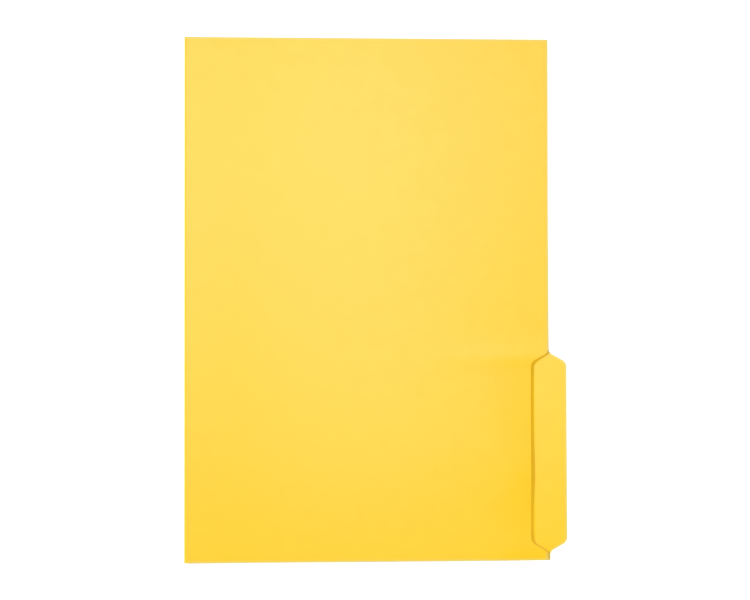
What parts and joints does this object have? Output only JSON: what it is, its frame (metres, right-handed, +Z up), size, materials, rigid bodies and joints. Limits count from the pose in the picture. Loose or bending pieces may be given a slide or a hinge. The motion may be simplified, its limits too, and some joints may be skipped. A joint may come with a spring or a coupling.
{
  "type": "file folder",
  "caption": "Closed card file folder: a back leaf with a side index tab, a notched front leaf that opens about the fold, and the crease that joins them.",
  "frame": {"origin": "under the middle of the closed folder's bounding box, in the plane that it lies on", "axes": "+X from the fold to the index tab, +Y along the fold away from the tab's end, +Z up through the closed leaves from back to front"},
  "size_m": [0.2542, 0.348, 0.0026],
  "materials": {
    "yellow_card": "matte"
  },
  "bodies": {
    "back": {"back_leaf": "yellow_card", "fold_crease": "yellow_card"},
    "front": {"front_leaf": "yellow_card"}
  },
  "joints": [
    {"name": "front_leaf_fold", "type": "hinge", "parent": "back", "child": "front", "pos_m": [-0.12695, 0, 0.0013], "axis": [0, -1, 0], "range_deg": [0, 180], "deforming": ["fold_crease"]}
  ]
}
